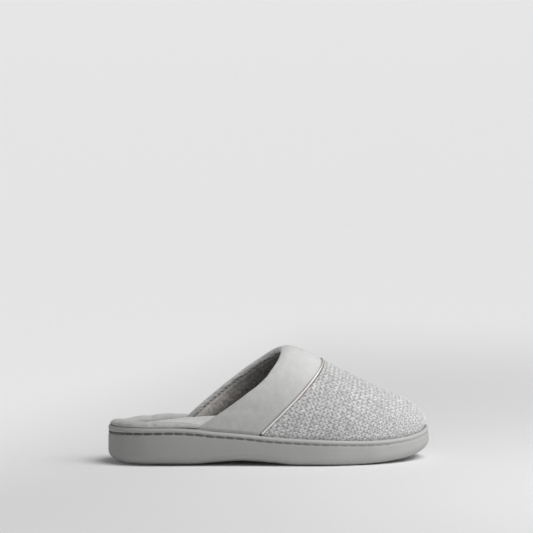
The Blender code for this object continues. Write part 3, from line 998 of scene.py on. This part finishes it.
# The stored value paints shade into the band: into the needle holes, deeper along the turned-in strip, and
# painted shadow in the groove beside the piping, most low down; the lumps on the strip are a mottle of the
# velour's own tone.
crevice = np.zeros(band.shape[:2])
crevice[:len(edge)] = 0.85 * holes + turned_in * (
    0.35 * lumps(spot, 2.2 * MM, 12) + 0.2 * ease(2 * MM, 6 * MM, edge[:, :1])
)
crevice[len(edge):] = (0.9 - 0.88 * high_up) * (1 - ease(1.0 * MM, 1.7 * MM, to_seam))
collar_band = make_piece("collar_band", band, faces, velour, crevice=np.clip(crevice, 0, 1))
settle(collar_band, "upper", "upper")

# %% [markdown]
# ## The knitted vamp
# The front is a chunky heather knit. A stitch is about three and a half millimetres, large enough for
# its loops to be modelled: every stitch is a pair of slanting yarn legs, each a long half-round bump,
# and the tallest leg wins at each point. The columns of stitches run along the foot and wander a little.
# Every leg is shifted, and some lie lower. The yarn is flecked, because heather is spun from light and
# dark fibres together.

# %% Lay the cloth on the upper
VAMP_ROWS, VAMP_COLUMNS = 250, 395
BALL_ROW = 150


def vamp_rows():
    """Ribs from piping to toe, spaced evenly on the average."""
    rows = np.linspace(PIPING_RIB, TOE_RIB - 0.3, 241)
    across = np.linspace(-0.95, 0.95, 39)
    length = run_lengths(upper_face(rows[:, None], across[None]), 0).mean(axis=1)
    return np.interp(np.linspace(0, length[-1], VAMP_ROWS + 1), length, rows)


rows = vamp_rows()
dense = np.linspace(-1, 1, 801)
down = run_lengths(upper_face(rows[:, None], dense[None]), 1)
down = down - down[:, [len(dense) // 2]]
from_ridge = np.linspace(down[:, 0], down[:, -1], VAMP_COLUMNS + 1, axis=1)
arcs = np.stack([np.interp(want, have, dense) for want, have in zip(from_ridge, down)])
face = upper_face(rows[:, None], arcs)
out = upper_out(rows[:, None], arcs)
over_ball = np.ptp(from_ridge[BALL_ROW])
print("vamp, width over the ball in mm:", round(float(over_ball / MM), 1))

# %% Measure the cloth along rows and columns of stitches
rib_way = unit(np.gradient(face, axis=1))
row_way = unit(np.gradient(face, axis=0) - np.gradient(from_ridge, axis=0)[..., None] * rib_way)
lean = np.sum(rib_way * row_way, axis=-1)
step = np.diff(from_ridge, axis=1)


def added_up(values):
    """Sum along each rib, counted from the ridge."""
    total = np.cumsum((values[:, 1:] + values[:, :-1]) / 2 * step, axis=1)
    total = np.concatenate([np.zeros((len(total), 1)), total], axis=1)
    at_ridge = [np.interp(0, places, line) for places, line in zip(from_ridge, total)]
    return total - np.array(at_ridge)[:, None]


ridge_run = run_lengths(upper_face(rows, 0), 0)[:, None]
along_cloth = ridge_run + added_up(lean)
down_cloth = added_up(np.sqrt(np.maximum(1 - lean**2, 0.05)))
print("cloth along the ridge in mm:", round(float(ridge_run[-1, 0] / MM), 1))

# %% Knit the stitches
COLUMN_WIDE = 3.6 * MM
STITCH_LONG = 3.4 * MM
LEG_LONG, LEG_WIDE = 2.0 * MM, 0.82 * MM
LEG_SLANT = math.radians(22)
LEG_ASIDE = 0.21
SHIFT_ALONG, SHIFT_ACROSS, SHIFT_DOWN = 0.45 * MM, 0.22 * MM, 0.12
WANDER = 0.8 * MM
# The chances repeat after this many stitches
REPEAT = 96
chance = np.random.default_rng(11)
SHADES = chance.normal(0, 1, (REPEAT, REPEAT, 2))
SHIFTS = chance.uniform(-1, 1, (REPEAT, REPEAT, 2, 3))


def knit(along_cloth, down_cloth):
    """Height of the yarn from 0 to 1 and the shade of the leg on top."""
    up_column, across = along_cloth / STITCH_LONG, down_cloth / COLUMN_WIDE
    height = np.zeros_like(across)
    shade = np.zeros_like(across)
    for w, c, leg in np.ndindex(3, 3, 2):
        column = np.floor(across).astype(int) + w - 1
        stitch = np.floor(up_column).astype(int) + c - 1
        own = (column % REPEAT, stitch % REPEAT, leg)
        shift = SHIFTS[own]
        way = 1 if leg else -1
        x = (up_column - stitch - 0.5) * STITCH_LONG - SHIFT_ALONG * shift[..., 0]
        y = (across - column - 0.5 - way * LEG_ASIDE) * COLUMN_WIDE - SHIFT_ACROSS * shift[..., 1]
        slant = way * LEG_SLANT
        lengthways = x * math.cos(slant) + y * math.sin(slant)
        sideways = y * math.cos(slant) - x * math.sin(slant)
        inside = 1 - (lengthways / LEG_LONG) ** 2 - (sideways / LEG_WIDE) ** 2
        bump = np.maximum(inside, 0) ** 0.6 * (1 - SHIFT_DOWN + SHIFT_DOWN * shift[..., 2])
        on_top = bump > height
        height = np.where(on_top, bump, height)
        shade = np.where(on_top, SHADES[own], shade)
    return height, shade


yarn, shade = knit(
    along_cloth + WANDER * lumps(face, 8 * MM, 31), down_cloth + WANDER * lumps(face, 8 * MM, 32)
)
print("share of the cloth that is gap:", round(float((yarn < 0.25).mean()), 3))

# %% Heather finish
ROSE = (1.0, 0.85, 0.83)
heather = Finish("heather_grey_knit", {
    "Roughness": 0.95, "Specular IOR Level": 0.15, "Sheen Weight": 0.2, "Sheen Roughness": 0.5,
})
drift, fleck, fibre = [heather.cloud(size * MM, 1) for size in (7, 0.85, 0.5)]
tone = heather.stored("yarn_shade") * 0.1 + drift * 0.35 + fleck * 1.1 + fibre * 1.4 - 0.925
wool = heather.mixed(tone.eased(0, 1), grey(0.42), grey(0.83))
# Painted shade: the gaps between the yarn legs are painted darker, where shade falls between them.
depth = heather.stored("yarn_height")
knit_with_painted_gap_shade = heather.mixed(depth.eased(0, 0.6), grey(0.36), wool)
heather.surface({"Base Color": heather.mixed(heather.stored("crevice"), knit_with_painted_gap_shade, grey(0.15, ROSE))})
heather.bumped(heather.cloud(0.35 * MM, 2), 0.3 * MM)

# %% Make the vamp
BACKING, RELIEF, DIVE = 0.4 * MM, 0.5 * MM, 0.8 * MM
from_seam = run_lengths(face, 0)
stand = (BACKING + RELIEF * yarn) * ease(-0.5 * MM, 2.2 * MM, from_seam)
stand = stand - DIVE * (1 - ease(0.8 * MM, 1.7 * MM, from_seam))
vamp_points = face + out * (stand * above_lip(face))[..., None]
# Painted shadow: a dark rose line is painted on the knit beside the piping, where the cord shades the
# groove.
vamp = make_piece(
    "knitted_vamp", vamp_points, grid_faces(*face.shape[:2], flip=True), heather,
    yarn_height=yarn, yarn_shade=shade, crevice=0.8 * (1 - ease(1.2 * MM, 2.0 * MM, from_seam)),
)
settle(vamp, "upper", "upper")

# %% [markdown]
# ## The fleece lining and its topstitch
# Inside, a soft fleece lines the vamp. It is caught by a row of small stitches at the turned-in edge of
# the band, swells just past them and then follows the wall to the toe. The swelling and the needle
# holes are geometry, because their soft ridges catch the light inside the opening. Deep inside and up
# towards the ridge, the fleece is painted darker: painted shade, where little light gets in.

# %% Fleece finish
fleece = Finish("warm_grey_fleece", {
    "Roughness": 1.0, "Specular IOR Level": 0.1, "Sheen Weight": 0.2, "Sheen Roughness": 0.6,
})
curls = fleece.cloud(1.8 * MM, 3)
wisps = fleece.cloud(0.5 * MM, 2)
curl = (curls * 0.7 + wisps * 0.3).eased(0.3, 0.7)
fleece_lit = fleece.mixed(curl, grey(0.46, BROWNISH), grey(0.64, BROWNISH))
fleece_in_painted_shade = fleece.mixed(curl, grey(0.09, BROWNISH), grey(0.24, BROWNISH))
# Painted shade: the fleece is painted darker deep inside and towards the ridge.
painted_shade_inside = fleece.stored("depth_inside").eased(0.008, 0.024)
painted_shade_inside = painted_shade_inside + (1 - painted_shade_inside) * fleece.towards((0.7, 0, 0.7)).eased(-0.005, 0.038) * 0.9
fleece.surface({"Base Color": fleece.mixed(painted_shade_inside, fleece_lit, fleece_in_painted_shade)})
fleece.bumped(curls * 0.6 + wisps * 0.4, 0.8 * MM)

# %% Lay the lining
LINING_COLUMNS = 360
FINE_ROWS, COARSE_ROWS = 52, 69
FINE_TO = 32 * MM
arcs, beside = even_columns(LINING_COLUMNS)
whole = ribs_walked(arcs, TOE_RIB)[1][-1]
start = SEAM - 0.2 * MM
near = np.repeat(np.linspace(start, FINE_TO, FINE_ROWS)[:, None], len(arcs), axis=1)
coarse = np.linspace(0, 1, COARSE_ROWS + 1)[1:, None]
deep = FINE_TO + (whole[None] - FINE_TO - 0.1 * MM) * coarse
forwards = np.concatenate([near, deep])
swelling = 2.0 * MM * ease(start, start + 3 * MM, forwards)
swelling = swelling - 1.4 * MM * ease(14 * MM, 30 * MM, forwards)
caught = 1.2 * MM * (1 - ease(start, start + 0.8 * MM, forwards))
off = -WALL - 0.3 * MM + caught - swelling + 0.7 * MM * needle_holes(beside[None], forwards)
lining = walk(arcs, forwards, off, TOE_RIB)
fluff = 0.45 * MM * lumps(lining, 5 * MM, 8) + 0.3 * MM * lumps(lining, 2.2 * MM, 9)
lining = walk(arcs, forwards, off - fluff, TOE_RIB)
fleece_lining = make_piece(
    "fleece_lining", lining, grid_faces(*lining.shape[:2]), fleece, depth_inside=forwards
)
settle(fleece_lining, "upper", "upper")

# %% Topstitch inside the collar
STITCH_SIZE = np.array([2.6, 0.8, 0.8]) * MM
arcs, beside = even_columns(2400)
spot = np.full((1, len(arcs)), SEAM)
seam = walk(arcs, spot, np.full_like(spot, -WALL - PADDING + 0.45 * MM))[0]
last = int(beside[-1] / STITCH_STEP) - 2
index = np.searchsorted(beside, (np.arange(-last, last) + 0.5) * STITCH_STEP)
heading = unit(seam[index + 3] - seam[index - 3])
rows, length = ribs_walked(np.zeros(1), PIPING_RIB)
seam_row = np.interp(TURN_IN, length[:, 0], rows)
outward = square_to(heading, -upper_out(seam_row, arcs[index]))
sizes = np.tile(STITCH_SIZE, (len(index), 1))
soft_thread, fibres = spun("soft_taupe_thread")
soft_thread.surface({"Base Color": soft_thread.mixed(fibres, grey(0.34, TAUPE), grey(0.48, TAUPE))})
topstitch = sew("collar_topstitch", seam[index], heading, outward, sizes, soft_thread)
settle(topstitch, "upper")

# %% [markdown]
# ## The metallic piping
# A thin cord of folded rose-gold foil covers the seam between band and knit. It is a round tube along
# one rib of the upper, half sunk between the two fabrics that meet under it. Towards the ridge the foil
# is painted darker, as painted shade, and a dark rose line beside it, stored on the knit, is painted
# shadow where the cord shades the groove beside it.

# %% Foil finish
foil = Finish("rose_gold_foil", {"Metallic": 0.45, "Specular IOR Level": 0.4})
crumple = foil.cloud(0.6 * MM, 2)
bright = foil.mixed(crumple, (0.88, 0.83, 0.80, 1), (0.98, 0.95, 0.94, 1))
# Painted shade: the foil's colour is darker towards the ridge.
foil.surface({
    "Base Color": foil.mixed(foil.towards((0, 0, 1)).eased(0.045, 0.08), bright, grey(0.64, BROWNISH)),
    "Roughness": 0.36 + crumple * 0.24,
})
foil.bumped(crumple, 0.06 * MM)

# %% Lay the piping
PIPING_RADIUS = 0.9 * MM
PIPING_LIFT = 0.6 * MM
PIPING_ENDS = 0.968
arcs = np.linspace(-PIPING_ENDS, PIPING_ENDS, 301)
out = upper_out(PIPING_RIB, arcs)
centre = upper_face(PIPING_RIB, arcs) + out * PIPING_LIFT
heading = unit(np.gradient(centre, axis=0))
across = np.cross(heading, out)
turn = np.linspace(0, 2 * math.pi, 14, endpoint=False)
tube = centre[:, None] + PIPING_RADIUS * (
    np.cos(turn)[None, :, None] * out[:, None] + np.sin(turn)[None, :, None] * across[:, None]
)
piping = make_piece("seam_piping", tube, tube_faces(*tube.shape[:2]), foil, solid=True)
settle(piping, "piping", "piping")

# %% [markdown]
# ## Floor, light and camera
# The slipper stands on a plain pale floor that curves up far away into a wall, so no horizon shows.
# Further off, the floor's own colour gives way to an even glow, so the backdrop is as light as a lit
# studio wall from every side. On the heel's side the glow starts a few centimetres from the slipper,
# painted light that lightens the slipper's shadow there. A soft high light and two softboxes near the toe
# give the shape its shading. The camera looks from a long way off through a long lens, as product pictures
# are taken, which keeps heel and toe at the same scale.

# %% Floor finish
paper = Finish("pale_studio_floor", {"Roughness": 0.9, "Specular IOR Level": 0.1})
away = paper.node("ShaderNodeVectorMath", {"operation": "LENGTH"}, {0: paper.place()}, output="Value")
# Painted light: on the heel's side the glow starts close to the slipper and lightens its shadow there.
behind = paper.towards((-1.0, 0.5, 0))
glow = away.maths("MAXIMUM", away.eased(0.25, 1.1), behind.eased(0.06, 0.4))
near_paper = paper.mixed(paper.cloud(0.4, 1), grey(0.78), grey(0.80))
paper.surface({
    "Base Color": paper.mixed(glow, near_paper, grey(0.2)),
    "Emission Color": paper.mixed(glow, grey(0), grey(0.63)),
    "Emission Strength": 1.0,
})

# %% Shape of the floor
FLAT, BEND = 7.0, 3.0
SPOKES = 96
turn = np.linspace(0, 2 * math.pi, SPOKES, endpoint=False)
lift = np.concatenate([[0], np.linspace(0, math.pi / 2, 13)])
radius = FLAT + BEND * np.sin(lift)
radius[0] = FLAT - 0.1
height = BEND * (1 - np.cos(lift))
cove = np.stack([
    radius[:, None] * np.cos(turn), radius[:, None] * np.sin(turn), height[:, None] + 0 * turn
], axis=-1)
floor_mesh = bpy.data.meshes.new("studio_floor")
faces = grid_faces(len(lift), SPOKES, closed=True, flip=True) + [list(range(SPOKES))]
floor_mesh.from_pydata(cove.reshape(-1, 3).tolist(), [], faces)
floor_mesh.shade_smooth()
floor_mesh.materials.append(paper.material)
floor = bpy.data.objects.new("studio_floor", floor_mesh)
bpy.context.scene.collection.objects.link(floor)

# %% Light
world = bpy.data.worlds.new("studio_light")
bpy.context.scene.world = world
world.use_nodes = True
sky = world.node_tree.nodes["Background"]
sky.inputs["Color"].default_value = (1, 1, 1, 1)
sky.inputs["Strength"].default_value = 0.05


def aim_from(azimuth, elevation):
    """The way to a lamp or the camera in degrees; azimuth 0 is the outer side and 90 the toe."""
    a, e = math.radians(azimuth), math.radians(elevation)
    return Vector((math.sin(a) * math.cos(e), -math.cos(a) * math.cos(e), math.sin(e)))


def hang(light, towards, distance):
    """Places a light that far from the slipper and turns it to shine at it."""
    lamp = bpy.data.objects.new(light.name, light)
    lamp.location = towards * distance + Vector((0, 0, 0.03))
    lamp.rotation_euler = towards.to_track_quat("Z", "Y").to_euler()
    bpy.context.scene.collection.objects.link(lamp)
    return lamp


def soft_sun(name, strength, azimuth, elevation, spread=40):
    """Soft light from far away."""
    light = bpy.data.lights.new(name, "SUN")
    light.energy = strength
    light.angle = math.radians(spread)
    return hang(light, aim_from(azimuth, elevation), 3)


def softbox(name, watts, azimuth, elevation, distance=0.8, size=0.5):
    """A square lamp close by, brighter on the side that is nearer."""
    light = bpy.data.lights.new(name, "AREA")
    light.energy = watts
    light.size = size
    return hang(light, aim_from(azimuth, elevation), distance)


lamps = [
    soft_sun("high_light", 1.92, 60, 65),
    softbox("front_softbox", 2.15, 60, 40),
    softbox("toe_softbox", 0.55, 90, 20),
]
print("lamps:", [lamp.name for lamp in lamps])

# %% Camera
FRAME_PX = 533
PX_PER_M = 1252.1
DISTANCE = 5.0
AZIMUTH, ELEVATION = -6, 7
SENSOR_MM = 36
AIM = Vector((0, 0, 0.045))
AIM_PX = (269.6, 403.8)
focal_px = PX_PER_M * DISTANCE
camera_data = bpy.data.cameras.new("camera")
camera_data.sensor_width = SENSOR_MM
camera_data.lens = focal_px / FRAME_PX * SENSOR_MM
camera = bpy.data.objects.new("camera", camera_data)
camera.location = AIM + aim_from(AZIMUTH, ELEVATION) * DISTANCE
camera.rotation_euler = (
    math.radians(90 - ELEVATION) + math.atan((AIM_PX[1] - FRAME_PX / 2) / focal_px),
    0,
    math.radians(AZIMUTH) + math.atan((AIM_PX[0] - FRAME_PX / 2) / focal_px),
)
bpy.context.scene.collection.objects.link(camera)
bpy.context.scene.camera = camera
bpy.context.scene.view_settings.view_transform = "Standard"
print("lens in mm:", round(camera_data.lens, 1))
